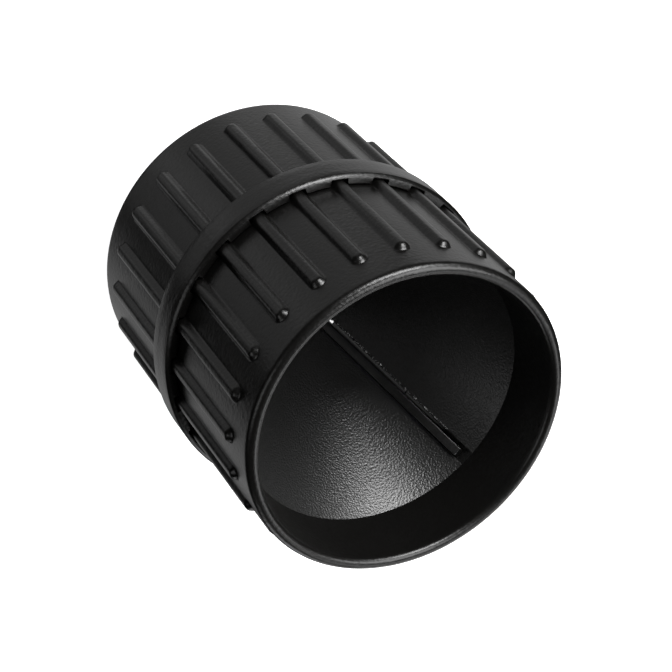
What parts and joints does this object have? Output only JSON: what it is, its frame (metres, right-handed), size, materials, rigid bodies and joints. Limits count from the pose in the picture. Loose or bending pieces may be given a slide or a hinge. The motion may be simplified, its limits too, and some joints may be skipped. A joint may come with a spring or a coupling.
{
  "type": "deburring tool",
  "caption": "Barrel-shaped hand reamer: a ribbed plastic shell with a collar around a bladed cone that dresses the outside and inside edges of cut tube.",
  "frame": {"origin": "centre of the rear end face, where the tool stands upright with its pictured mouth up", "axes": "+Z along the tool's axis out of the mouth; +Y towards the first blade"},
  "size_m": [0.0558, 0.0558, 0.061],
  "materials": {
    "shell_plastic": "fine satin texture, slightly warm black",
    "cone_plastic": "coarse moulded grain with a soft sheen",
    "blade_steel": "dark hardened steel with a ground edge",
    "hub_steel": "turned, lightly blackened"
  },
  "bodies": {
    "root": {"front_shell": "shell_plastic", "rear_shell": "shell_plastic", "reamer_cone": "cone_plastic", "blade_ring": "cone_plastic", "tip_hub": "hub_steel", "blade_1": "blade_steel", "blade_2": "blade_steel", "blade_3": "blade_steel"}
  },
  "joints": []
}
